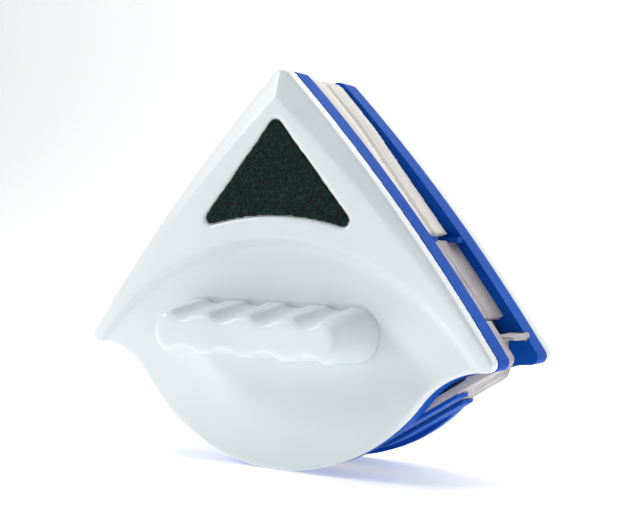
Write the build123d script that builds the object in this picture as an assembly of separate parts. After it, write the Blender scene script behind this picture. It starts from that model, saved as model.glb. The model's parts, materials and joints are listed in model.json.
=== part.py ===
"""Two-sided magnetic glass cleaner: two triangular halves that clamp a window pane between them.

Millimetres. +Z points up to the rounded apex, Y is the normal of the glass and Y = 0 is the glass plane.
The front half lies at -Y and the rear half at +Y. X = 0 is the plane of symmetry, and Z = 0 is the level of
the two lower corners.

Each half is drawn lying down, with x across, y up towards the apex and z as the height from the glass plane.
front() and rear() then stand it up on its own side of the glass.
"""
from build123d import *
import math
import os

# ------------------------------------------------------------------ outline, seen square to the glass
HALF_WIDTH = 89.0  # the side edges reach this x at z = 0
APEX_Z = 106.4  # where the two side edges would meet if the apex were sharp
SIDE_BOW = 3.2  # how far each side edge bows out from its chord
TIP_DROP = 3.6  # how far below z = 0 the sharp lower corners lie
BOTTOM_RADIUS = 75.8
BOTTOM_DEPTH = 46.4  # the lowest point of the round bottom, below z = 0
FLARE_TURN = 53.0  # degrees from straight down to where the flare leaves the round bottom
APEX_ROUND = 4.5
CORNER_ROUND = 3.0

# ------------------------------------------------------------------ heights from the glass plane
GLASS_GAP = 0.15  # each half keeps its soft faces this far from the glass plane
RIM_HEIGHT = 13.5  # the edge of the base plate nearest to the glass
SEAT_DEPTH = 2.0  # how deep the pad sits in the base plate
FLOOR_THICKNESS = 1.8
WALL_BAND = 3.8  # the plate's upper wall; the lower wall steps in from it
GRIP_REACH = 28.7  # from the joint of cover and plate to the front of the grip

# ------------------------------------------------------------------ cover
COVER_WALL = 2.2
FACE_LOW = 6.5  # the triangular face above the joint, at z = 0
FACE_HIGH = 10.9  # and at the apex
BEVEL_START = 6.4  # height of the side wall, where the bevel begins
BEVEL_DEG = 24.0
CREASE_RADIUS = 104.0  # the round step between the face and the disc
CREASE_BELOW_APEX = 68.2
STEP_SLOPE = 1.1  # how far the step leans out for each millimetre that it drops
DISC_RISE = 5.4  # the disc above the joint
EDGE_ROUND = 1.5  # round of the face's and the disc's outer edges

# ------------------------------------------------------------------ scouring patch and its recess
PATCH_BELOW_APEX = 19.2
PATCH_SIDE_DEG = 50.0
PATCH_ABOVE_CREASE = 11.3
PATCH_TIP_ROUND = 3.0
PATCH_LOBE_ROUND = 2.5
RECESS_DEPTH = 1.6
PATCH_TAPE = 0.4
PATCH_THICKNESS = 1.0
PATCH_GAP = 0.3  # between the patch and the wall of its recess
PATCH_LIFT = 0.1  # between the patch and its tape

# ------------------------------------------------------------------ grip
GRIP_HALF_LENGTH = 44.0
GRIP_WIDTH = 20.4
GRIP_Z = 6.8  # middle of the grip's foot
GRIP_FRONT_HALF_LENGTH = 40.0
GRIP_FRONT_WIDTH = 15.6
GRIP_FRONT_Z = 5.2
GRIP_EDGE_ROUND = 3.4
GRIP_SEAT = 0.8  # how deep the grip's foot sits in the disc
GRIP_CLEARANCE = 0.1
GRIP_CORE_HALF_LENGTH = 28.0
GRIP_CORE_WIDTH = 7.0  # narrow enough to leave a full wall behind the finger grooves
GRIP_FRONT_WALL = 5.4
GRIP_END_FLAT = 2.0  # the flat between the two rounds at each end of the grip
GROOVE_PITCH = 18.2
GROOVE_RADIUS = 9.0
GROOVE_DEPTH = 2.8
GROOVE_LEAN = 7.0  # degrees, so that each finger groove fades out towards the disc
GROOVE_COUNT = 4
ROPE_HOLE_RADIUS = 2.2
ROPE_HOLE_FROM_END = 3.5
ROPE_HOLE_FROM_FRONT = 7.8

# ------------------------------------------------------------------ base plate
PLATE_WALL = 2.0
SEAT_INSET = 5.5  # the pad's seat, from the side edges above the blades
SEAT_WALL = 1.2  # between a blade's slot and the pad's seat
SEAT_SHORT_OF_SIDE = 17.0  # the seat ends this far short of the lower corners
TAB_Z = 42.4
TAB_LENGTH = 2.0
TAB_REACH = 5.0
TAB_INSET = 0.4

# ------------------------------------------------------------------ cleaning pad
PAD_INSET = 0.5
PAD_TAPER_BELOW_APEX = 20.0  # the pad's sides draw in below this
PAD_DRAW_IN = 2.3  # and have drawn in by this much where they end
PAD_STEP_Z = 43.6  # where the pad ends at the sides and the blades begin
PAD_TAPE = 0.7
PAD_CLEARANCE = 0.3

# ------------------------------------------------------------------ wiper blades
FOOT_WIDTH = 3.0
FOOT_DEPTH = 2.5
LIP_WIDTH = 2.2
TIP_WIDTH = 1.3
TIP_LENGTH = 5.0
SLOT_CLEARANCE = 0.05
SIDE_BLADE_INSET = 5.0  # centre line of a side blade, from the side edge
SIDE_BLADE_LOW = 14.4
SIDE_BLADE_HIGH = 40.6
RING_INSET = 4.55  # centre line of the bottom blade, from the round bottom
RING_DEG = 32.0  # slope of its straight runs up to the lower corners
RING_WALL = 1.2  # plate outside the bottom blade's slot
HOLDER_HEIGHT = 6.5  # a wall of the plate backs the bottom blade down to this height
FRONT_HOLDER_INSET = 19.0  # the front's wall ends this far short of the lower corners
REAR_HOLDER_INSET = 27.0
FRONT_BEND_INSET = 3.4  # from the corner to where the front's bottom blade turns up along the side
FRONT_BLADE_TOP = 13.0
FRONT_BLADE_INSET = 3.9
REAR_BEND_INSET = 13.6  # from the corner to where the rear's bottom blade turns up
REAR_END_INSET = 4.8  # and to where it ends, pointing outwards
REAR_END_Z = 7.2
BEND_RADIUS = 2.6
CORNER_BLOCK_LENGTH = 16.0

# ------------------------------------------------------------------ magnets and fixings
MAGNET_LENGTH = 36.0
MAGNET_WIDTH = 20.0
MAGNET_THICKNESS = 5.0
MAGNET_PITCH_X = 41.0
MAGNET_PITCH_Z = 26.0
MAGNET_Z = 19.0  # middle of the group
MAGNET_CLEARANCE = 0.15
RIB_WIDTH = 1.2
RIB_HEIGHT = 3.0
IRON_THICKNESS = 1.2
IRON_MARGIN = 0.6
IRON_CORNER = 2.0
MAGNET_CHAMFER = 0.4
TOP_SCREW_BELOW_APEX = 27.4
SIDE_SCREW_GAP = 13.5  # from the magnets' outer edges
SIDE_SCREW_Z = 14.0
LOW_SCREW_X = 32.0
LOW_SCREW_RISE = 22.4  # above the lowest point of the round bottom
SCREW_RADIUS = 1.5
SCREW_HEAD_RADIUS = 2.7
SCREW_HEAD_HEIGHT = 1.6
SCREW_BITE = 2.6  # length of thread in the cover's post
THREAD_INTERFERENCE = 0.3  # the thread cuts this far into its post
SCREW_CLEARANCE = 0.2
POST_RADIUS = 3.4
PLATE_POST_RADIUS = 4.3
GRIP_SCREW_FROM_END = 9.0
GRIP_SCREW_LENGTH = 9.0
DRIVE_LENGTH = 2.6
DRIVE_WIDTH = 0.6
DRIVE_DEPTH = 0.8

FAR = 400.0  # larger than the whole cleaner, for cutting blocks

# ------------------------------------------------------------------ levels that follow from the sizes above
FLOOR_FRONT = RIM_HEIGHT + SEAT_DEPTH  # the floor that the pad sits on
FLOOR_BACK = FLOOR_FRONT + FLOOR_THICKNESS
INNER_STACK = MAGNET_THICKNESS + IRON_THICKNESS + SCREW_HEAD_HEIGHT  # fills the hollow under the grip
JOINT_HEIGHT = FLOOR_BACK + INNER_STACK + COVER_WALL + GRIP_SEAT - DISC_RISE  # where cover meets plate
STEP_HEIGHT = JOINT_HEIGHT - WALL_BAND
GRIP_HEIGHT = JOINT_HEIGHT + GRIP_REACH
GRIP_SCREW_X = GRIP_HALF_LENGTH - GRIP_SCREW_FROM_END
SEAT_HALF_WIDTH = HALF_WIDTH - SEAT_SHORT_OF_SIDE
CORNER_BLOCK_X = HALF_WIDTH - CORNER_BLOCK_LENGTH
PAD_TAPER_Z = APEX_Z - PAD_TAPER_BELOW_APEX
CREASE_TOP = APEX_Z - CREASE_BELOW_APEX
SIDE_SCREW_X = (MAGNET_PITCH_X + MAGNET_LENGTH) / 2 + SIDE_SCREW_GAP


def screw_spots():
    """Where the screws go: one under the apex, one beyond each end of the magnets, two near the round bottom."""
    spots = [(0.0, APEX_Z - TOP_SCREW_BELOW_APEX)]
    for side in (1, -1):
        spots.append((side * SIDE_SCREW_X, SIDE_SCREW_Z))
        spots.append((side * LOW_SCREW_X, LOW_SCREW_RISE - BOTTOM_DEPTH))
    return spots


SCREW_SPOTS = screw_spots()


# ------------------------------------------------------------------ plane geometry shared by every piece
def unit(x, y):
    """The unit vector along (x, y)."""
    length = math.hypot(x, y)
    return x / length, y / length


def along(point, direction, distance):
    """The point at that distance from point."""
    return point[0] + direction[0] * distance, point[1] + direction[1] * distance


def mirrored(point):
    """The same point on the other side of x = 0."""
    return -point[0], point[1]


def side_circle():
    """Centre and radius of the right-hand side edge."""
    chord = math.hypot(HALF_WIDTH, APEX_Z)
    radius = (chord**2 / 4 + SIDE_BOW**2) / (2 * SIDE_BOW)
    outward = unit(APEX_Z, HALF_WIDTH)
    return along((HALF_WIDTH / 2, APEX_Z / 2), outward, SIDE_BOW - radius), radius


SIDE_CENTRE, SIDE_RADIUS = side_circle()
BOTTOM_CENTRE = (0.0, BOTTOM_RADIUS - BOTTOM_DEPTH)


def side_x(z, inset=0.0):
    """x of the right-hand side edge, drawn in by inset, at the level z."""
    return SIDE_CENTRE[0] + math.sqrt((SIDE_RADIUS - inset) ** 2 - (z - SIDE_CENTRE[1]) ** 2)


def side_top(inset):
    """Where the two side edges, drawn in by inset, cross above x = 0."""
    return 0.0, SIDE_CENTRE[1] + math.sqrt((SIDE_RADIUS - inset) ** 2 - SIDE_CENTRE[0] ** 2)


def flare_circle():
    """Centre and radius of the hollow flare that joins the round bottom to the lower corner."""
    away = (math.sin(math.radians(FLARE_TURN)), -math.cos(math.radians(FLARE_TURN)))
    tip = (side_x(-TIP_DROP), -TIP_DROP)
    reach = (tip[0] - BOTTOM_CENTRE[0], tip[1] - BOTTOM_CENTRE[1])
    ahead = reach[0] * away[0] + reach[1] * away[1]
    square = reach[0] ** 2 + reach[1] ** 2
    radius = (square - 2 * BOTTOM_RADIUS * ahead + BOTTOM_RADIUS**2) / (2 * (ahead - BOTTOM_RADIUS))
    return along(BOTTOM_CENTRE, away, BOTTOM_RADIUS + radius), radius, away


FLARE_CENTRE, FLARE_RADIUS, FLARE_AWAY = flare_circle()


def upper_crossing(centre_a, radius_a, centre_b, radius_b):
    """Where two circles cross, at the crossing with the greater height."""
    gap = math.dist(centre_a, centre_b)
    towards = unit(centre_b[0] - centre_a[0], centre_b[1] - centre_a[1])
    reach = (gap**2 + radius_a**2 - radius_b**2) / (2 * gap)
    rise = math.sqrt(radius_a**2 - reach**2)
    middle = along(centre_a, towards, reach)
    first = along(middle, (-towards[1], towards[0]), rise)
    second = along(middle, (towards[1], -towards[0]), rise)
    return max(first, second, key=lambda point: point[1])


def arc(centre, radius, start, end):
    """The shorter arc of that circle from start to end."""
    half_way = unit(start[0] + end[0] - 2 * centre[0], start[1] + end[1] - 2 * centre[1])
    return ThreePointArc(start, along(centre, half_way, radius), end)


def rounded_face(right_edges, bottom, apex, foot, inset):
    """The face inside the right-hand edges, their mirror images and the bottom arc, its corners rounded."""
    left_edges = [mirror(edge, about=Plane.YZ) for edge in right_edges]
    face = make_face([*right_edges, bottom, *left_edges])
    corners = [(apex, APEX_ROUND), (foot, CORNER_ROUND), (mirrored(foot), CORNER_ROUND)]
    for place, radius in corners:
        nearest = face.vertices().sort_by_distance((*place, 0))[0]
        face = fillet(nearest, max(radius - inset, radius / 4))
    return face


def outline(inset=0.0):
    """The cleaner's outline, drawn in by inset all round."""
    side_radius = SIDE_RADIUS - inset
    flare_radius = FLARE_RADIUS + inset
    bottom_radius = BOTTOM_RADIUS - inset
    apex = side_top(inset)
    foot = upper_crossing(SIDE_CENTRE, side_radius, FLARE_CENTRE, flare_radius)
    join = along(BOTTOM_CENTRE, FLARE_AWAY, bottom_radius)
    edges = [arc(SIDE_CENTRE, side_radius, apex, foot), arc(FLARE_CENTRE, flare_radius, foot, join)]
    bottom = arc(BOTTOM_CENTRE, bottom_radius, join, mirrored(join))
    return rounded_face(edges, bottom, apex, foot, inset)


RING_AWAY = (math.sin(math.radians(RING_DEG)), -math.cos(math.radians(RING_DEG)))
RING_RADIUS = BOTTOM_RADIUS - RING_INSET


def ring_touch(growth=0.0):
    """Where the bottom blade's round run meets its straight run, with its line moved out by growth."""
    return along(BOTTOM_CENTRE, RING_AWAY, RING_RADIUS + growth)


def ring_z(x, growth=0.0):
    """Height of the straight run's line at x, with the line moved out by growth."""
    touch = ring_touch(growth)
    return touch[1] + (x - touch[0]) * math.tan(math.radians(RING_DEG))


def ring(side_inset, growth):
    """The face inside the side edges, drawn in by side_inset, and the blade's line, moved out by growth."""
    side_radius = SIDE_RADIUS - side_inset
    touch = ring_touch(growth)
    run = (math.cos(math.radians(RING_DEG)), math.sin(math.radians(RING_DEG)))
    to_centre = (SIDE_CENTRE[0] - touch[0], SIDE_CENTRE[1] - touch[1])
    ahead = to_centre[0] * run[0] + to_centre[1] * run[1]
    apart = to_centre[0] ** 2 + to_centre[1] ** 2 - ahead**2
    foot = along(touch, run, ahead + math.sqrt(side_radius**2 - apart))
    apex = side_top(side_inset)
    edges = [arc(SIDE_CENTRE, side_radius, apex, foot), Line(foot, touch)]
    bottom = arc(BOTTOM_CENTRE, RING_RADIUS + growth, touch, mirrored(touch))
    return rounded_face(edges, bottom, apex, foot, side_inset)


def slab(face, low, high):
    """The face raised into a solid from the height low to the height high."""
    return Pos(0, 0, low) * extrude(face, high - low, dir=(0, 0, 1))


def band(left, right, bottom, top):
    """A rectangle between those x and y."""
    return Pos((left + right) / 2, (bottom + top) / 2) * Rectangle(right - left, top - bottom)


# ------------------------------------------------------------------ cover
FACE_DEG = math.degrees(math.atan2(FACE_HIGH - FACE_LOW, APEX_Z))


def under_face(drop):
    """Everything below the leaning plane of the triangular face, lowered by drop."""
    top = Box(FAR, FAR, FAR, align=(Align.CENTER, Align.CENTER, Align.MAX))
    return Pos(0, 0, JOINT_HEIGHT + FACE_LOW - drop) * Rot(FACE_DEG, 0, 0) * top


def bevel_cone(side, inset, drop):
    """A cone on the side edge's centre, whose flank is the bevel of the edge at x * side."""
    lean = 1 / math.tan(math.radians(BEVEL_DEG))
    rise = 2 * FACE_HIGH
    start = BEVEL_START - drop
    foot_radius = SIDE_RADIUS - inset + lean * start
    cone = Cone(foot_radius, foot_radius - lean * rise, rise, align=(Align.CENTER, Align.CENTER, Align.MIN))
    return Pos(side * SIDE_CENTRE[0], SIDE_CENTRE[1], JOINT_HEIGHT) * cone


def disc_cut(growth, drop):
    """What the round step takes off the face, down to the flat disc."""
    centre_z = CREASE_TOP - CREASE_RADIUS
    radius = CREASE_RADIUS + growth
    top_radius = radius + STEP_SLOPE * FACE_HIGH
    cut = Cone(radius, top_radius, FACE_HIGH, align=(Align.CENTER, Align.CENTER, Align.MIN))
    return Pos(0, centre_z, JOINT_HEIGHT + DISC_RISE - drop) * cut


def cover_form(inset=0.0, drop=0.0):
    """The cover's solid form, drawn in by inset at its sides and lowered by drop at its front."""
    form = slab(outline(inset), JOINT_HEIGHT, JOINT_HEIGHT + FACE_HIGH)
    form = form & under_face(drop)
    for side in (1, -1):
        form = form & bevel_cone(side, inset, drop)
    return form - disc_cut(inset, drop)


def rounded_cover():
    """The cover's form with the outer edges of its face, the ridge at its apex and the disc's rim rounded."""
    form = cover_form()
    rim_top = JOINT_HEIGHT + DISC_RISE / 2
    curved = [edge for edge in form.edges() if edge.geom_type != GeomType.LINE and edge.center().Z > rim_top]
    rim = [edge for edge in curved if edge.center().Y < -TIP_DROP]
    lips = ShapeList(curved).filter_by(GeomType.ELLIPSE).sort_by(SortBy.LENGTH)[-3:]
    ridge = ShapeList(curved).filter_by(GeomType.HYPERBOLA)
    return fillet([*rim, *lips, *ridge], EDGE_ROUND)


def patch_face(gap=0.0):
    """The patch's rounded triangle, grown by gap all round. Its foot is concentric with the crease."""
    slope = math.radians(PATCH_SIDE_DEG)
    apex = APEX_Z - PATCH_BELOW_APEX + gap / math.cos(slope)
    foot_radius = CREASE_RADIUS + PATCH_ABOVE_CREASE - gap
    centre_z = CREASE_TOP - CREASE_RADIUS
    triangle = Polygon((0, apex), (apex / math.tan(slope), 0), (-apex / math.tan(slope), 0), align=None)
    face = triangle - Pos(0, centre_z) * Circle(foot_radius)
    lobes = face.vertices().sort_by(Axis.Y)[:-1]
    face = fillet(lobes, PATCH_LOBE_ROUND + gap)
    tip = face.vertices().sort_by(Axis.Y, reverse=True)[0]
    return fillet(tip, PATCH_TIP_ROUND + gap)


def face_layer(face, top, bottom):
    """The part of that face's column that lies between two depths under the triangular face."""
    column = slab(face, JOINT_HEIGHT, JOINT_HEIGHT + 2 * FACE_HIGH)
    return (column & under_face(top)) - under_face(bottom)


def grip_foot(growth=0.0):
    """The outline of the grip's foot, grown by growth."""
    length = 2 * (GRIP_HALF_LENGTH + growth)
    width = GRIP_WIDTH + 2 * growth
    return Pos(0, GRIP_Z) * RectangleRounded(length, width, (width - GRIP_END_FLAT) / 2)


GRIP_BASE = JOINT_HEIGHT + DISC_RISE - GRIP_SEAT
COVER_CEILING = GRIP_BASE - COVER_WALL


def cover():
    """The white moulded cover: a shell with screw posts, a recess for the patch and a seat for the grip."""
    form = rounded_cover()
    shell = form - cover_form(COVER_WALL, COVER_WALL)
    pad_under_grip = slab(grip_foot(COVER_WALL), COVER_CEILING, GRIP_BASE + GRIP_SEAT)
    recess_floor = face_layer(patch_face(PATCH_GAP + COVER_WALL), COVER_WALL / 2, RECESS_DEPTH + COVER_WALL)
    shell += pad_under_grip & form
    shell += recess_floor & form
    for x, z in SCREW_SPOTS:
        shell += Pos(x, z) * slab(Circle(POST_RADIUS), JOINT_HEIGHT, JOINT_HEIGHT + FACE_HIGH) & form
    shell -= face_layer(patch_face(PATCH_GAP), -FACE_HIGH, RECESS_DEPTH)
    shell -= slab(grip_foot(GRIP_CLEARANCE), GRIP_BASE, GRIP_HEIGHT)
    for x, z in SCREW_SPOTS:
        pilot = Circle(SCREW_RADIUS - THREAD_INTERFERENCE)
        shell -= Pos(x, z) * slab(pilot, JOINT_HEIGHT, JOINT_HEIGHT + SCREW_BITE + SCREW_CLEARANCE)
    for x in (GRIP_SCREW_X, -GRIP_SCREW_X):
        hole = slab(Circle(SCREW_RADIUS + SCREW_CLEARANCE), JOINT_HEIGHT, GRIP_HEIGHT)
        shell -= Pos(x, GRIP_Z) * hole
    return shell


def scouring_patch():
    """The abrasive patch, a close fit in its recess."""
    bottom = RECESS_DEPTH - PATCH_TAPE - PATCH_LIFT
    return face_layer(patch_face(), bottom - PATCH_THICKNESS, bottom)


def patch_tape():
    """The hook tape stuck to the floor of the recess."""
    return face_layer(patch_face(), RECESS_DEPTH - PATCH_TAPE, RECESS_DEPTH)


# ------------------------------------------------------------------ grip
def groove_places():
    """x of each finger groove, spaced evenly about the middle."""
    return [(index - (GROOVE_COUNT - 1) / 2) * GROOVE_PITCH for index in range(GROOVE_COUNT)]


def grip_grooves():
    """The finger grooves above and below the grip, deepest at its front edge."""
    length = 2 * (GRIP_HEIGHT - GRIP_BASE)
    tool = Cylinder(GROOVE_RADIUS, length)
    reach = GRIP_FRONT_WIDTH / 2 + GROOVE_RADIUS - GROOVE_DEPTH
    slope = math.degrees(math.atan2((GRIP_WIDTH - GRIP_FRONT_WIDTH) / 2, GRIP_HEIGHT - GRIP_BASE))
    for x in groove_places():
        for side in (1, -1):
            lean = side * (slope + GROOVE_LEAN)
            yield Pos(x, GRIP_FRONT_Z + side * reach, GRIP_HEIGHT) * Rot(lean, 0, 0) * tool


def grip(with_rope_hole):
    """The hollow moulded grip with four finger grooves on each long side."""
    foot = Pos(0, 0, GRIP_BASE) * grip_foot()
    corner = (GRIP_FRONT_WIDTH - GRIP_END_FLAT) / 2
    front_outline = RectangleRounded(2 * GRIP_FRONT_HALF_LENGTH, GRIP_FRONT_WIDTH, corner)
    body = loft([foot, Pos(0, GRIP_FRONT_Z, GRIP_HEIGHT) * front_outline])
    front_edges = body.faces().sort_by(Axis.Z)[-1].edges()
    body = fillet(front_edges, GRIP_EDGE_ROUND)
    for groove in grip_grooves():
        body -= groove
    core = Pos(0, GRIP_FRONT_Z) * Rectangle(2 * GRIP_CORE_HALF_LENGTH, GRIP_CORE_WIDTH)
    body -= slab(core, GRIP_BASE, GRIP_HEIGHT - GRIP_FRONT_WALL)
    for x in (GRIP_SCREW_X, -GRIP_SCREW_X):
        pilot = slab(Circle(SCREW_RADIUS - THREAD_INTERFERENCE), GRIP_BASE, GRIP_BASE + GRIP_SCREW_LENGTH)
        body -= Pos(x, GRIP_Z) * pilot
    if with_rope_hole:
        hole = Rot(90, 0, 0) * Cylinder(ROPE_HOLE_RADIUS, 2 * GRIP_WIDTH)
        x = GRIP_FRONT_HALF_LENGTH - ROPE_HOLE_FROM_END
        body -= Pos(x, GRIP_Z, GRIP_HEIGHT - ROPE_HOLE_FROM_FRONT) * hole
    return body


# ------------------------------------------------------------------ screws
def screw(length):
    """A pan head screw with a cross recess, its head at z = 0 and below and its shank along +z."""
    head = Pos(0, 0, -SCREW_HEAD_HEIGHT / 2) * Cylinder(SCREW_HEAD_RADIUS, SCREW_HEAD_HEIGHT)
    head = fillet(head.edges().sort_by(Axis.Z)[0], SCREW_HEAD_HEIGHT / 3)
    shank = Pos(0, 0, length / 2) * Cylinder(SCREW_RADIUS, length)
    shank = chamfer(shank.edges().sort_by(Axis.Z)[-1], SCREW_RADIUS / 2)
    drive = Box(DRIVE_LENGTH, DRIVE_WIDTH, 2 * DRIVE_DEPTH) + Box(DRIVE_WIDTH, DRIVE_LENGTH, 2 * DRIVE_DEPTH)
    return head + shank - Pos(0, 0, -SCREW_HEAD_HEIGHT) * drive


HEAD_SEAT = FLOOR_FRONT + SCREW_HEAD_HEIGHT + SCREW_CLEARANCE


def cover_screws():
    """The screws that pull the cover onto the base plate, driven from under the pad."""
    length = JOINT_HEIGHT + SCREW_BITE - HEAD_SEAT
    return [Pos(x, z, HEAD_SEAT) * screw(length) for x, z in SCREW_SPOTS]


def grip_screws():
    """The two screws that hold the grip, driven from inside the cover."""
    length = GRIP_BASE + GRIP_SCREW_LENGTH - SCREW_CLEARANCE - COVER_CEILING
    return [Pos(x, GRIP_Z, COVER_CEILING) * screw(length) for x in (GRIP_SCREW_X, -GRIP_SCREW_X)]


# ------------------------------------------------------------------ wiper blades
def side_blade_line():
    """Centre line of the right-hand side blade."""
    low = (side_x(SIDE_BLADE_LOW, SIDE_BLADE_INSET), SIDE_BLADE_LOW)
    high = (side_x(SIDE_BLADE_HIGH, SIDE_BLADE_INSET), SIDE_BLADE_HIGH)
    return arc(SIDE_CENTRE, SIDE_RADIUS - SIDE_BLADE_INSET, high, low)


def bottom_line(right_run):
    """Centre line of a bottom blade: the right-hand run, the round run and the left-hand run."""
    round_run = arc(BOTTOM_CENTRE, RING_RADIUS, ring_touch(), mirrored(ring_touch()))
    return Wire([*right_run.edges(), *round_run.edges(), *mirror(right_run, about=Plane.YZ).edges()])


def front_bottom_line():
    """The front's bottom blade turns up along the side edges at the lower corners."""
    end = (side_x(FRONT_BLADE_TOP, FRONT_BLADE_INSET), FRONT_BLADE_TOP)
    bend_x = HALF_WIDTH - FRONT_BEND_INSET
    bend = (bend_x, ring_z(bend_x))
    return bottom_line(FilletPolyline(end, bend, ring_touch(), radius=BEND_RADIUS))


def rear_bottom_line():
    """The rear's bottom blade turns up short of the corners and ends pointing outwards."""
    bend_x = HALF_WIDTH - REAR_BEND_INSET
    end = (HALF_WIDTH - REAR_END_INSET, REAR_END_Z)
    corners = [end, (bend_x, REAR_END_Z), (bend_x, ring_z(bend_x)), ring_touch()]
    return bottom_line(FilletPolyline(*corners, radius=BEND_RADIUS))


def blade(line):
    """A rubber blade along line: a broad foot in the plate's slot, a lip and a thin wiping edge."""
    foot = slab(trace(line, FOOT_WIDTH), RIM_HEIGHT, RIM_HEIGHT + FOOT_DEPTH)
    lip = slab(trace(line, LIP_WIDTH), GLASS_GAP + TIP_LENGTH, RIM_HEIGHT)
    edge = slab(trace(line, TIP_WIDTH), GLASS_GAP, GLASS_GAP + TIP_LENGTH)
    return foot + lip + edge


def blade_slot(line):
    """The slot in the base plate that holds a blade's foot."""
    return slab(trace(line, FOOT_WIDTH + 2 * SLOT_CLEARANCE), 0, RIM_HEIGHT + FOOT_DEPTH + SLOT_CLEARANCE)


RING_GROWTH = FOOT_WIDTH / 2 + SLOT_CLEARANCE + RING_WALL


def corner_block_face():
    """The space between the flare and the front blade near the lower corners, on both sides."""
    outside = ring(0.0, FOOT_WIDTH / 2) - outline(-SLOT_CLEARANCE)
    return outside - band(-CORNER_BLOCK_X, CORNER_BLOCK_X, -FAR, FAR)


def front_bottom_blade():
    """The front's bottom blade, its foot widened to the base plate's edge near the two lower corners."""
    blocks = slab(corner_block_face(), RIM_HEIGHT, RIM_HEIGHT + FOOT_DEPTH)
    return blade(front_bottom_line()) + blocks


# ------------------------------------------------------------------ base plate, pad and magnets
LOWER_INSET = SIDE_BLADE_INSET + FOOT_WIDTH / 2 + SLOT_CLEARANCE + SEAT_WALL
LOWER_GROWTH = -(FOOT_WIDTH / 2 + SLOT_CLEARANCE + SEAT_WALL)


def pad_face(upper_inset, gap=0.0):
    """The pad's outline: full width near the apex, drawn in towards the blades and inside them below."""
    upper = outline(upper_inset + gap) & band(-FAR, FAR, PAD_STEP_Z + gap, FAR)
    lower = ring(LOWER_INSET + gap, LOWER_GROWTH - gap) & band(-FAR, FAR, -FAR, PAD_STEP_Z + gap)
    lower = lower & band(gap - SEAT_HALF_WIDTH, SEAT_HALF_WIDTH - gap, -FAR, FAR)
    high = (side_x(PAD_TAPER_Z, upper_inset + gap), PAD_TAPER_Z)
    low = (side_x(PAD_STEP_Z, upper_inset + PAD_DRAW_IN + gap), PAD_STEP_Z)
    right = [(FAR, FAR), (FAR, PAD_TAPER_Z), high, low]
    corners = right + [mirrored(corner) for corner in reversed(right)]
    return (upper & Polygon(*corners, align=None)) + lower


def cleaning_pad():
    """The thick fibre pad, seated between the rims and standing up to the glass plane."""
    seated = slab(pad_face(SEAT_INSET, PAD_CLEARANCE), RIM_HEIGHT - PAD_CLEARANCE, FLOOR_FRONT - PAD_TAPE)
    crown = slab(pad_face(PAD_INSET, PAD_CLEARANCE), GLASS_GAP, RIM_HEIGHT - PAD_CLEARANCE)
    return seated + crown


def pad_tape():
    """The hook tape between the plate's floor and the pad, holed where the screws are reached."""
    tape = slab(pad_face(SEAT_INSET, 2 * PAD_CLEARANCE), FLOOR_FRONT - PAD_TAPE, FLOOR_FRONT)
    for x, z in SCREW_SPOTS:
        tape -= Pos(x, z) * slab(Circle(PLATE_POST_RADIUS), 0, FLOOR_BACK)
    return tape


def magnet_places():
    """Middles of the four magnets."""
    for x in (-MAGNET_PITCH_X / 2, MAGNET_PITCH_X / 2):
        for z in (MAGNET_Z - MAGNET_PITCH_Z / 2, MAGNET_Z + MAGNET_PITCH_Z / 2):
            yield x, z


def magnets():
    """Four block magnets standing on the back of the floor."""
    block = slab(Rectangle(MAGNET_LENGTH, MAGNET_WIDTH), FLOOR_BACK, FLOOR_BACK + MAGNET_THICKNESS)
    block = chamfer(block.edges(), MAGNET_CHAMFER)
    return [Pos(x, z) * block for x, z in magnet_places()]


def back_iron():
    """The steel plate that closes the magnets' field at their back."""
    length = MAGNET_PITCH_X + MAGNET_LENGTH + 2 * IRON_MARGIN
    width = MAGNET_PITCH_Z + MAGNET_WIDTH + 2 * IRON_MARGIN
    low = FLOOR_BACK + MAGNET_THICKNESS
    return Pos(0, MAGNET_Z) * slab(RectangleRounded(length, width, IRON_CORNER), low, low + IRON_THICKNESS)


def magnet_ribs():
    """Low ribs on the back of the floor that frame each magnet."""
    inner = Rectangle(MAGNET_LENGTH + 2 * MAGNET_CLEARANCE, MAGNET_WIDTH + 2 * MAGNET_CLEARANCE)
    grown = 2 * (MAGNET_CLEARANCE + RIB_WIDTH)
    outer = Rectangle(MAGNET_LENGTH + grown, MAGNET_WIDTH + grown)
    frames = [Pos(x, z) * (outer - inner) for x, z in magnet_places()]
    return [slab(frame, FLOOR_BACK - SLOT_CLEARANCE, FLOOR_BACK + RIB_HEIGHT) for frame in frames]


def side_tabs():
    """The small tabs that close off the top of each side blade."""
    low = TAB_Z - TAB_LENGTH / 2
    tab = band(side_x(low, LOWER_INSET), side_x(TAB_Z, TAB_INSET), low, low + TAB_LENGTH)
    right = slab(tab, RIM_HEIGHT - TAB_REACH, RIM_HEIGHT + SLOT_CLEARANCE)
    return [right, mirror(right, about=Plane.YZ)]


def blade_holder(end_inset):
    """The wall that backs the bottom blade on its outer side, between points end_inset from the corners."""
    wall = ring(0.0, RING_GROWTH) - ring(0.0, RING_GROWTH - RING_WALL)
    reach = HALF_WIDTH - end_inset
    return slab(wall & band(-reach, reach, -FAR, TAB_Z), HOLDER_HEIGHT, RIM_HEIGHT + FOOT_DEPTH)


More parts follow.
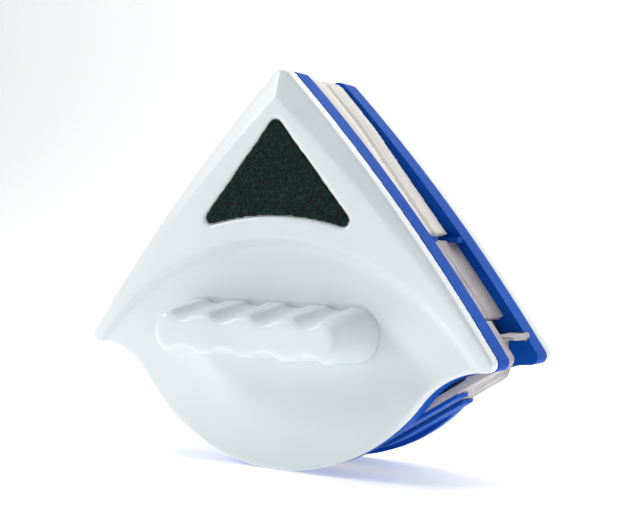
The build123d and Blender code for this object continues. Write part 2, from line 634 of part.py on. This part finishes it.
def base_plate(lines, holder_inset):
    """The blue tray that carries the pad, the blades and the magnets."""
    lower = ring(0.0, RING_GROWTH) & outline()
    plate = slab(outline(), STEP_HEIGHT, JOINT_HEIGHT) + slab(lower, RIM_HEIGHT, STEP_HEIGHT)
    hollow = outline(PLATE_WALL) & ring(PLATE_WALL, RING_GROWTH - PLATE_WALL)
    plate -= slab(hollow, FLOOR_BACK, JOINT_HEIGHT)
    plate -= slab(pad_face(SEAT_INSET), 0, FLOOR_FRONT)
    for tab in side_tabs():
        plate += tab
    plate += blade_holder(holder_inset)
    for rib in magnet_ribs():
        plate += rib
    for x, z in SCREW_SPOTS:
        plate += Pos(x, z) * slab(Circle(PLATE_POST_RADIUS), FLOOR_FRONT, JOINT_HEIGHT)
    for x, z in SCREW_SPOTS:
        plate -= Pos(x, z) * slab(Circle(SCREW_HEAD_RADIUS + SCREW_CLEARANCE), 0, HEAD_SEAT)
        plate -= Pos(x, z) * slab(Circle(SCREW_RADIUS + SCREW_CLEARANCE), 0, JOINT_HEIGHT)
    for line in lines:
        plate -= blade_slot(line)
    return plate


# ------------------------------------------------------------------ the two halves
def half(bottom_blade, bottom_blade_line, holder_inset, with_rope_hole):
    """Every piece of one half, by name."""
    right = side_blade_line()
    left = mirror(right, about=Plane.YZ)
    return {
        "cover": cover(),
        "grip": grip(with_rope_hole),
        "grip_screws": grip_screws(),
        "scouring_patch": scouring_patch(),
        "patch_tape": patch_tape(),
        "base_plate": base_plate([right, left, bottom_blade_line], holder_inset),
        "cleaning_pad": cleaning_pad(),
        "pad_tape": pad_tape(),
        "right_blade": blade(right),
        "left_blade": blade(left),
        "bottom_blade": bottom_blade,
        "magnets": magnets(),
        "back_iron": back_iron(),
        "cover_screws": cover_screws(),
    }


def front(shape):
    """Stands a shape up on the -Y side of the glass."""
    return Rot(90, 0, 0) * shape


def rear(shape):
    """Stands a shape up on the +Y side of the glass, as the mirror image of the front."""
    return mirror(front(shape), about=Plane.XZ)


def write(name, shapes):
    """Writes one node, which is one solid or a group of separate ones."""
    group = [solid for shape in shapes for solid in shape.solids()]
    export_step(group[0] if len(group) == 1 else Compound(children=group), f"parts/{name}.step")


os.makedirs("parts", exist_ok=True)
halves = {
    "front": (front, half(front_bottom_blade(), front_bottom_line(), FRONT_HOLDER_INSET, False)),
    "rear": (rear, half(blade(rear_bottom_line()), rear_bottom_line(), REAR_HOLDER_INSET, True)),
}
for side, (stand_up, pieces) in halves.items():
    for piece, shape in pieces.items():
        shapes = shape if isinstance(shape, list) else [shape]
        write(f"{side}_{piece}", [stand_up(one) for one in shapes])
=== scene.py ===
"""The finished look of the two-sided magnetic glass cleaner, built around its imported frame, in metres.

+Z points up to the rounded apex and Y = 0 is the glass plane. The front half lies at -Y, the rear half at +Y.
"""
import bmesh
import bpy
import json
import math
from mathutils import Matrix, Vector, noise


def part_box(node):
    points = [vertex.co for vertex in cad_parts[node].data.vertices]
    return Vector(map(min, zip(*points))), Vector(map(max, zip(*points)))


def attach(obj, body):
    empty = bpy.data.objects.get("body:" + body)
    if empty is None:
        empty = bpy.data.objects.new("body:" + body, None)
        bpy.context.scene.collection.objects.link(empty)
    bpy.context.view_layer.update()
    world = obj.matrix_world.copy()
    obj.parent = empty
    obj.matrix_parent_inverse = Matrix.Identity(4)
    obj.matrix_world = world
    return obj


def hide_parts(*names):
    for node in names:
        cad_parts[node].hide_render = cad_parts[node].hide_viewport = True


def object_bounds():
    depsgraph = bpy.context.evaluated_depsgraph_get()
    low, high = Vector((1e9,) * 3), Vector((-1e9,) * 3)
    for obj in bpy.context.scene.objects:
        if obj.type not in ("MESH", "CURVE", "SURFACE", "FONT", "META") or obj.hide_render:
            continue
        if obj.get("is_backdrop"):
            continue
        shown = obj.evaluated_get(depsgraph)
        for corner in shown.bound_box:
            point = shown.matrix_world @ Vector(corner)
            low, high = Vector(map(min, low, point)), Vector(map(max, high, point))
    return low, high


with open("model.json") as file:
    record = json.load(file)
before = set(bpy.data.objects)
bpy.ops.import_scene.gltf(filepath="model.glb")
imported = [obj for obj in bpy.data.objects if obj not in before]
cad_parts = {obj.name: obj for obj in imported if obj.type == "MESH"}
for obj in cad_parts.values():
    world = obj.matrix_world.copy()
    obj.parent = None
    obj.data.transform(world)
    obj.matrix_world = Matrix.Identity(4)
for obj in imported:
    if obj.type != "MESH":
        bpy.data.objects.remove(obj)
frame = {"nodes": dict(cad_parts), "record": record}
cad_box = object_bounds()
MM = 0.001
HALVES = {"front": -1, "rear": 1}  # which side of the glass plane each half lies on
COVER_VOXEL = 0.8 * MM  # size of the even small faces that each soft-edged piece is remade in
GRIP_VOXEL = 0.6 * MM
PATCH_VOXEL = 0.6 * MM
PAD_VOXEL = 1.5 * MM
BLADE_VOXEL = 0.42 * MM
GRIP_SEAT = 30.0 * MM  # nearer the glass than this the grip keeps its crisp seat on the cover
PAD_SWELL = 0.5 * MM
WEB_LUMP = 0.12 * MM


# ------------------------------------------------------------------ materials
def linear(hex_colour):
    """An sRGB hex colour as linear RGBA."""
    channels = [int(hex_colour[i:i + 2], 16) / 255 for i in (0, 2, 4)]
    return [c / 12.92 if c <= 0.04045 else ((c + 0.055) / 1.055) ** 2.4 for c in channels] + [1.0]


def add_node(tree, kind, inputs=None, **properties):
    """Adds a node, sets its properties, and sets or links its inputs."""
    node = tree.nodes.new("ShaderNode" + kind)
    for name, value in properties.items():
        setattr(node, name, value)
    for name, value in (inputs or {}).items():
        if isinstance(value, bpy.types.NodeSocket):
            tree.links.new(value, node.inputs[name])
        else:
            node.inputs[name].default_value = value
    return node


def new_material(name):
    """An empty node material with its shader, its output and the object's own coordinates."""
    material = bpy.data.materials.new(name)
    material.use_nodes = True
    tree = material.node_tree
    tree.nodes.clear()
    shader = add_node(tree, "BsdfPrincipled")
    add_node(tree, "OutputMaterial", {"Surface": shader.outputs["BSDF"]})
    return material, tree, shader, add_node(tree, "TexCoord").outputs["Object"]


def moulded_abs(name, low, high, smooth, rough, specular):
    """Injection moulded ABS from a lightly textured tool: satin, even in colour, with broad highlights."""
    material, tree, shader, place = new_material(name)
    flow = add_node(tree, "TexNoise", {"Vector": place, "Scale": 1 / (45 * MM), "Detail": 2.0})
    spark = add_node(tree, "TexNoise", {"Vector": place, "Scale": 1 / (0.8 * MM), "Detail": 2.0})
    handling = add_node(tree, "TexNoise", {"Vector": place, "Scale": 1 / (9 * MM), "Detail": 5.0})
    gloss = add_node(tree, "MapRange", {"Value": handling.outputs["Fac"], "To Min": smooth, "To Max": rough})
    bump = add_node(tree, "Bump", {"Height": spark.outputs["Fac"], "Strength": 0.12, "Distance": 0.05 * MM})
    share = add_node(tree, "MapRange", {"Value": flow.outputs["Fac"], "From Min": 0.3, "From Max": 0.7})
    tone = add_node(tree, "Mix", {0: share.outputs["Result"], 6: linear(low), 7: linear(high)},
                    data_type="RGBA")
    tree.links.new(tone.outputs[2], shader.inputs["Base Color"])
    tree.links.new(gloss.outputs["Result"], shader.inputs["Roughness"])
    tree.links.new(bump.outputs["Normal"], shader.inputs["Normal"])
    shader.inputs["IOR"].default_value = 1.54
    shader.inputs["Specular IOR Level"].default_value = specular
    return material


def silicone_rubber():
    """Extruded silicone rubber: matt and greyish, with faint drag lines and a light bloom."""
    material, tree, shader, place = new_material("extruded silicone rubber")
    lines = add_node(tree, "Mapping", {"Vector": place, "Scale": (120.0, 2600.0, 120.0)})
    drag = add_node(tree, "TexNoise", {"Vector": lines.outputs["Vector"], "Scale": 1.0, "Detail": 3.0})
    bloom = add_node(tree, "TexNoise", {"Vector": place, "Scale": 1 / (6 * MM), "Detail": 4.0})
    bump = add_node(tree, "Bump", {"Height": drag.outputs["Fac"], "Strength": 0.3, "Distance": 0.06 * MM})
    share = add_node(tree, "MapRange", {"Value": bloom.outputs["Fac"], "From Min": 0.3, "From Max": 0.7})
    tone = add_node(tree, "Mix", {0: share.outputs["Result"], 6: linear("A8A1A3"), 7: linear("BDB7B8")},
                    data_type="RGBA")
    tree.links.new(tone.outputs[2], shader.inputs["Base Color"])
    tree.links.new(bump.outputs["Normal"], shader.inputs["Normal"])
    shader.inputs["Roughness"].default_value = 0.55
    shader.inputs["IOR"].default_value = 1.43
    return material


def needled_felt():
    """Needled polyester felt: cream, matt and fuzzy, with its laid webs as faint lines along the edge."""
    material, tree, shader, place = new_material("needled polyester felt")
    wander = add_node(tree, "TexNoise", {"Vector": place, "Scale": 1 / (14 * MM), "Detail": 3.0})
    shift = add_node(tree, "VectorMath", {0: wander.outputs["Color"], 1: (0.0, 0.0011, 0.0)},
                     operation="MULTIPLY")
    bent = add_node(tree, "VectorMath", {0: place, 1: shift.outputs["Vector"]}, operation="ADD")
    # webs are about 2.4 mm thick; a band's period in Blender's wave texture is 2 pi / 20 of a unit
    webs = add_node(tree, "TexWave", {"Vector": bent.outputs["Vector"], "Scale": math.pi / 10 / (2.4 * MM)},
                    bands_direction="Y")
    # real fibres are 0.03 mm; drawn ten times coarser so that they show
    strands = add_node(tree, "Mapping", {"Vector": place, "Scale": (700.0, 3300.0, 1100.0)})
    fibre = add_node(tree, "TexNoise", {"Vector": strands.outputs["Vector"], "Scale": 1.0, "Detail": 4.0})
    both = add_node(tree, "Mix", {"Factor": 0.6, 2: webs.outputs["Fac"], 3: fibre.outputs["Fac"]})
    height = add_node(tree, "Bump", {"Height": both.outputs[0], "Strength": 0.35, "Distance": 0.25 * MM})
    share = add_node(tree, "MapRange", {"Value": both.outputs[0], "From Min": 0.2, "From Max": 0.65})
    tone = add_node(tree, "Mix", {0: share.outputs["Result"], 6: linear("DAD3CB"), 7: linear("EBE6DF")},
                    data_type="RGBA")
    tree.links.new(tone.outputs[2], shader.inputs["Base Color"])
    tree.links.new(height.outputs["Normal"], shader.inputs["Normal"])
    shader.inputs["Roughness"].default_value = 0.95
    shader.inputs["Sheen Weight"].default_value = 0.25
    return material


def scouring_web():
    """Resin-bonded nylon web with abrasive grit: green-black, open and matt, with pale glints."""
    material, tree, shader, place = new_material("resin-bonded nylon scouring web")
    # grit is 0.1 mm; drawn at 0.9 mm so that it shows
    grit = add_node(tree, "TexVoronoi", {"Vector": place, "Scale": 1 / (0.9 * MM)})
    web = add_node(tree, "TexNoise", {"Vector": place, "Scale": 1 / (1.6 * MM), "Detail": 6.0,
                                      "Roughness": 0.7})
    both = add_node(tree, "Mix", {"Factor": 0.65, 2: grit.outputs["Distance"], 3: web.outputs["Fac"]})
    height = add_node(tree, "Bump", {"Height": both.outputs[0], "Strength": 0.9, "Distance": 0.5 * MM})
    share = add_node(tree, "MapRange", {"Value": both.outputs[0], "From Min": 0.42, "From Max": 0.8})
    tone = add_node(tree, "Mix", {0: share.outputs["Result"], 6: linear("020D0B"), 7: linear("1D3D37")},
                    data_type="RGBA")
    tree.links.new(tone.outputs[2], shader.inputs["Base Color"])
    tree.links.new(height.outputs["Normal"], shader.inputs["Normal"])
    shader.inputs["Roughness"].default_value = 0.85
    shader.inputs["Specular IOR Level"].default_value = 0.2
    return material


def hook_tape():
    """Moulded nylon hook tape: off-white, with rows of small stems and painted shade on the low tape between
    them.
    """
    material, tree, shader, place = new_material("moulded nylon hook tape")
    stems = add_node(tree, "TexVoronoi", {"Vector": place, "Scale": 1 / (1.4 * MM), "Randomness": 0.15})
    height = add_node(tree, "Bump", {"Height": stems.outputs["Distance"], "Strength": 0.8,
                                     "Distance": 0.3 * MM})
    height.invert = True
    # painted shade: the tape is darker the further it lies from a stem, on the low ground between the stems
    share = add_node(tree, "MapRange", {"Value": stems.outputs["Distance"], "From Min": 0.1, "From Max": 0.6})
    tone = add_node(tree, "Mix", {0: share.outputs["Result"], 6: linear("E6E4DE"), 7: linear("B9B6AE")},
                    data_type="RGBA")
    tree.links.new(tone.outputs[2], shader.inputs["Base Color"])
    tree.links.new(height.outputs["Normal"], shader.inputs["Normal"])
    shader.inputs["Roughness"].default_value = 0.6
    return material


def plated_steel(name, low, high, smooth, grain):
    """Electroplated steel: a thin bright coat that follows the rolled or headed surface under it."""
    material, tree, shader, place = new_material(name)
    rolled = add_node(tree, "TexNoise", {"Vector": place, "Scale": 1 / grain, "Detail": 4.0})
    bump = add_node(tree, "Bump", {"Height": rolled.outputs["Fac"], "Strength": 0.15, "Distance": 0.03 * MM})
    gloss = add_node(tree, "MapRange", {"Value": rolled.outputs["Fac"], "To Min": smooth,
                                        "To Max": smooth + 0.15})
    share = add_node(tree, "MapRange", {"Value": rolled.outputs["Fac"], "From Min": 0.3, "From Max": 0.7})
    tone = add_node(tree, "Mix", {0: share.outputs["Result"], 6: linear(low), 7: linear(high)},
                    data_type="RGBA")
    tree.links.new(tone.outputs[2], shader.inputs["Base Color"])
    tree.links.new(gloss.outputs["Result"], shader.inputs["Roughness"])
    tree.links.new(bump.outputs["Normal"], shader.inputs["Normal"])
    shader.inputs["Metallic"].default_value = 1.0
    return material


FINISHES = {
    "white_plastic": moulded_abs("moulded white ABS", "DCE3E6", "E5EAEC", 0.28, 0.4, 0.45),
    "blue_plastic": moulded_abs("moulded blue ABS", "0A4CAE", "0F56BA", 0.5, 0.62, 0.05),
    "blade_rubber": silicone_rubber(),
    "pad_fibre": needled_felt(),
    "scouring_fibre": scouring_web(),
    "hook_tape": hook_tape(),
    "magnet": plated_steel("nickel plated magnet", "C9C6BE", "D8D5CE", 0.16, 3 * MM),
    "iron": plated_steel("zinc plated rolled steel", "A9AFB4", "BFC4C8", 0.32, 1.2 * MM),
    "screw_steel": plated_steel("zinc plated headed steel", "B4B9BE", "CDD1D4", 0.25, 0.8 * MM),
}
for part in frame["record"]["subparts"]:
    materials = frame["nodes"][part["node"]].data.materials
    materials.clear()
    materials.append(FINISHES[part["material_slot"]])


# ------------------------------------------------------------------ making pieces
def place_piece(name, form, body, node, slot):
    """Puts a finished bmesh on its body, in the place of its CAD node."""
    mesh = bpy.data.meshes.new(name)
    form.to_mesh(mesh)
    form.free()
    mesh.shade_smooth()
    piece = bpy.data.objects.new(name, mesh)
    bpy.context.scene.collection.objects.link(piece)
    mesh.materials.append(FINISHES[slot])
    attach(piece, body)
    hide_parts(node)
    return piece


def remeshed(node, voxel):
    """A bmesh of the node's shape in even small faces, which smoothing can then round off."""
    form = bmesh.new()
    form.from_mesh(frame["nodes"][node].data)
    bmesh.ops.remove_doubles(form, verts=form.verts, dist=0.004 * MM)
    mesh = bpy.data.meshes.new(node + "_remesh")
    form.to_mesh(mesh)
    form.free()
    source = bpy.data.objects.new(node + "_remesh", mesh)
    bpy.context.scene.collection.objects.link(source)
    step = source.modifiers.new("remesh", "REMESH")
    step.mode = "VOXEL"
    step.voxel_size = voxel
    ready = source.evaluated_get(bpy.context.evaluated_depsgraph_get())
    form = bmesh.new()
    form.from_mesh(ready.to_mesh())
    bpy.data.objects.remove(source)
    return form


def soften(form, times, keep=None):
    """Rounds every edge a little more each time. Vertices that keep() names stay where they are."""
    verts = [v for v in form.verts if keep is None or not keep(v.co)]
    for _ in range(times):
        bmesh.ops.smooth_vert(form, verts=verts, factor=0.5,
                              use_axis_x=True, use_axis_y=True, use_axis_z=True)


def covers_and_grips(half):
    """The moulded cover and the hand-shaped grip of one half, with the soft edges that moulding gives."""
    body = f"{half}_half"
    shell = remeshed(f"{half}_cover", COVER_VOXEL)
    soften(shell, 1)
    place_piece(f"{half}_cover_shell", shell, body, f"{half}_cover", "white_plastic")
    handle = remeshed(f"{half}_grip", GRIP_VOXEL)
    soften(handle, 10, keep=lambda co: abs(co.y) < GRIP_SEAT)
    place_piece(f"{half}_grip_handle", handle, body, f"{half}_grip", "white_plastic")


def fibre_patch(half):
    """The scouring patch, uneven on its face as a bonded web is."""
    form = remeshed(f"{half}_scouring_patch", PATCH_VOXEL)
    soften(form, 2)
    form.normal_update()
    for vert in form.verts:
        lump = noise.noise(vert.co / (1.8 * MM)) + 0.6 * noise.noise(vert.co / (0.8 * MM))
        vert.co += vert.normal * (lump * WEB_LUMP)
    node = f"{half}_scouring_patch"
    piece = place_piece(f"{half}_scouring_web", form, f"{half}_patch", node, "scouring_fibre")


# ------------------------------------------------------------------ cleaning pads
def swollen(form, name, most):
    """Lets the pad swell as stuffed fibre does, by a cloth simulation, with no point moving over most."""
    mesh = bpy.data.meshes.new(name)
    form.to_mesh(mesh)
    pad = bpy.data.objects.new(name, mesh)
    bpy.context.scene.collection.objects.link(pad)
    cloth = pad.modifiers.new("swell", "CLOTH")
    cloth.settings.use_pressure = True
    cloth.settings.uniform_pressure_force = 4.0
    cloth.settings.effector_weights.gravity = 0.0
    for number in range(1, 21):
        bpy.context.scene.frame_set(number)
    moved = pad.evaluated_get(bpy.context.evaluated_depsgraph_get()).to_mesh()
    form.verts.ensure_lookup_table()
    for vert, target in zip(form.verts, moved.vertices):
        step = target.co - vert.co
        vert.co += step * min(1.0, most / max(step.length, 1e-9))
    bpy.data.objects.remove(pad)
    bpy.context.scene.frame_set(1)


def cleaning_pad(half):
    """The thick felt pad, swollen a little between its edges and flat where it meets the glass."""
    node = f"{half}_cleaning_pad"
    side = HALVES[half]
    form = remeshed(node, PAD_VOXEL)
    swollen(form, f"{half}_pad_swell", PAD_SWELL)
    low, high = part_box(node)
    near, far = sorted((abs(low.y), abs(high.y)))
    for vert in form.verts:
        vert.co.y = side * min(max(abs(vert.co.y), near), far)
    piece = place_piece(f"{half}_felt_pad", form, f"{half}_half", node, "pad_fibre")


# ------------------------------------------------------------------ rubber blades
SIDE_CENTRE = Vector((-530.8, 0.0, -428.0)) * MM  # centre of the right-hand side edge's arc
SIDE_BLADE_RADIUS = 748.2 * MM
BLADE_CORNER = 0.16 * MM
# (offset from the centre line, height from the glass plane) of the foot, waist and flared tip, in mm
BLADE_SECTION = (
    (1.5, 16.0), (1.5, 13.5), (1.3, 12.9), (0.9, 10.5), (0.7, 7.0), (0.7, 4.2), (0.85, 2.0),
    (1.15, 0.6), (1.05, 0.15),
)


def side_blade(half, name, hand):
    """A short squeegee blade: its section is spun along the side edge's arc."""
    low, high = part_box(f"{half}_right_blade")
    start = math.asin((low.z - SIDE_CENTRE.z) / SIDE_BLADE_RADIUS)
    end = math.asin((high.z - SIDE_CENTRE.z) / SIDE_BLADE_RADIUS)
    form = bmesh.new()
    outline = list(BLADE_SECTION) + [(-across, height) for across, height in reversed(BLADE_SECTION)]
    verts = [form.verts.new((SIDE_BLADE_RADIUS + a * MM, HALVES[half] * h * MM, 0.0)) for a, h in outline]
    face = form.faces.new(verts)
    bmesh.ops.rotate(form, verts=form.verts, cent=(0, 0, 0), matrix=Matrix.Rotation(-start, 3, "Y"))
    bmesh.ops.spin(form, geom=[face, *face.edges, *face.verts], cent=(0, 0, 0), axis=(0, -1, 0),
                   dvec=(0, 0, 0), angle=end - start, steps=24, use_merge=False, use_normal_flip=False,
                   use_duplicate=False)
    bmesh.ops.translate(form, verts=form.verts, vec=SIDE_CENTRE)
    bmesh.ops.holes_fill(form, edges=form.edges)
    if hand < 0:
        bmesh.ops.scale(form, verts=form.verts, vec=(-1, 1, 1))
    bmesh.ops.remove_doubles(form, verts=form.verts, dist=0.001 * MM)
    bmesh.ops.recalc_face_normals(form, faces=form.faces)
    ends = [e for e in form.edges if len(e.link_faces) == 2 and e.calc_face_angle() > math.radians(35)]
    bmesh.ops.bevel(form, geom=ends, offset=BLADE_CORNER, affect="EDGES", segments=2, profile=0.5,
                    material=-1, clamp_overlap=True)
    place_piece(f"{half}_{name}_squeegee", form, f"{half}_half", f"{half}_{name}_blade", "blade_rubber")


def bottom_blade(half):
    """The long squeegee blade round the bottom, with the soft corners of extruded rubber."""
    form = remeshed(f"{half}_bottom_blade", BLADE_VOXEL)
    soften(form, 3)
    place_piece(f"{half}_bottom_squeegee", form, f"{half}_half", f"{half}_bottom_blade", "blade_rubber")


for half in HALVES:
    covers_and_grips(half)
    fibre_patch(half)
    cleaning_pad(half)
    side_blade(half, "right", 1)
    side_blade(half, "left", -1)
    bottom_blade(half)


# ------------------------------------------------------------------ floor, light and camera
FLOOR_LEFT, FLOOR_WIDTH, FLOOR_FRONT = -6.0, 12.0, -3.0
BACKDROP_Y, BACKDROP_TOP = 3.5, 4.0
BACKDROP_BEND = 1.5  # radius of the sweep from the floor to the backdrop
BEND_STEPS = 24


def studio_floor():
    """A pale floor that curves up into a backdrop."""
    form = bmesh.new()
    low = cad_box[0][2] - 0.4 * MM
    turns = [math.pi / 2 * step / BEND_STEPS for step in range(BEND_STEPS + 1)]
    sweep = [(BACKDROP_Y - BACKDROP_BEND * (1 - math.sin(turn)), low + BACKDROP_BEND * (1 - math.cos(turn)))
             for turn in turns]
    profile = [(FLOOR_FRONT, low), *sweep, (BACKDROP_Y, BACKDROP_TOP)]
    line = [form.verts.new((FLOOR_LEFT, y, z)) for y, z in profile]
    for pair in zip(line, line[1:]):
        form.edges.new(pair)
    made = bmesh.ops.extrude_edge_only(form, edges=form.edges[:])
    moved = [item for item in made["geom"] if isinstance(item, bmesh.types.BMVert)]
    bmesh.ops.translate(form, verts=moved, vec=(FLOOR_WIDTH, 0, 0))
    mesh = bpy.data.meshes.new("studio_floor")
    form.to_mesh(mesh)
    form.free()
    mesh.shade_smooth()
    floor = bpy.data.objects.new("studio_floor", mesh)
    bpy.context.scene.collection.objects.link(floor)
    material, tree, shader, place = new_material("matt backdrop paper")
    tooth = add_node(tree, "TexNoise", {"Vector": place, "Scale": 60.0, "Detail": 3.0})
    tone = add_node(tree, "Mix", {0: tooth.outputs["Fac"], 6: linear("F4F4F3"), 7: linear("F9F9F8")},
                    data_type="RGBA")
    tree.links.new(tone.outputs[2], shader.inputs["Base Color"])
    shader.inputs["Roughness"].default_value = 0.9
    shader.inputs["Emission Color"].default_value = linear("F6F7F8")
    shader.inputs["Emission Strength"].default_value = 0.45
    mesh.materials.append(material)
    floor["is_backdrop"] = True


def soft_light(name, place, aim, size, power):
    """A square soft box that faces its aim."""
    data = bpy.data.lights.new(name, "AREA")
    data.shape = "SQUARE"
    data.size = size
    data.energy = power
    light = bpy.data.objects.new(name, data)
    light.location = place
    light.rotation_euler = (Vector(aim) - Vector(place)).to_track_quat("-Z", "Y").to_euler()
    bpy.context.scene.collection.objects.link(light)


studio_floor()
CLEANER = (0, 0, 0.03)
LIGHTS = (  # name, place, aim, size and power in watts
    ("left", (-1.15, -0.75, 0.8), CLEANER, 0.5, 11.5),
    ("right", (1.3, 0.15, 0.55), CLEANER, 0.8, 0.3),
    ("top", (-0.1, -0.2, 1.3), CLEANER, 0.7, 4),
    ("backdrop wash", (0.0, 0.9, 2.2), (0, 3.2, 0.3), 2.0, 60),
    ("floor wash", (0.0, 1.4, 1.6), (0, 1.2, -0.05), 1.6, 14),
)
for light in LIGHTS:
    soft_light(*light)
world = bpy.data.worlds.new("studio")
world.use_nodes = True
world.node_tree.nodes["Background"].inputs["Color"].default_value = (0.93, 0.96, 1.0, 1.0)
world.node_tree.nodes["Background"].inputs["Strength"].default_value = 0.19
bpy.context.scene.world = world
bpy.context.scene.view_settings.view_transform = "Standard"

AZIMUTH = math.radians(30.94)
ELEVATION = math.radians(1.11)
ROLL = math.radians(1.60)
TARGET = Vector((1.87, 0.0, 31.25)) * MM
DISTANCE = 500.75 * MM
LENS = 71.44  # mm
across = math.cos(ELEVATION)
back = Vector((math.sin(AZIMUTH) * across, -math.cos(AZIMUTH) * across, math.sin(ELEVATION)))
level = Vector((math.cos(AZIMUTH), math.sin(AZIMUTH), 0.0))
upright = back.cross(level)
right = level * math.cos(ROLL) + upright * math.sin(ROLL)
up = upright * math.cos(ROLL) - level * math.sin(ROLL)
camera_data = bpy.data.cameras.new("camera")
camera_data.lens = LENS
camera_data.sensor_width = 36.0
camera_data.clip_start = 0.01
camera = bpy.data.objects.new("camera", camera_data)
turned = Matrix((right, up, back)).transposed().to_4x4()
camera.matrix_world = Matrix.Translation(TARGET + back * DISTANCE) @ turned
bpy.context.scene.collection.objects.link(camera)
bpy.context.scene.camera = camera


def plain(value):
    """Vectors and tuples as plain lists of numbers."""
    return [plain(item) for item in value] if hasattr(value, "__len__") else float(value)


{"cad": plain(cad_box), "visual": plain(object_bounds())}
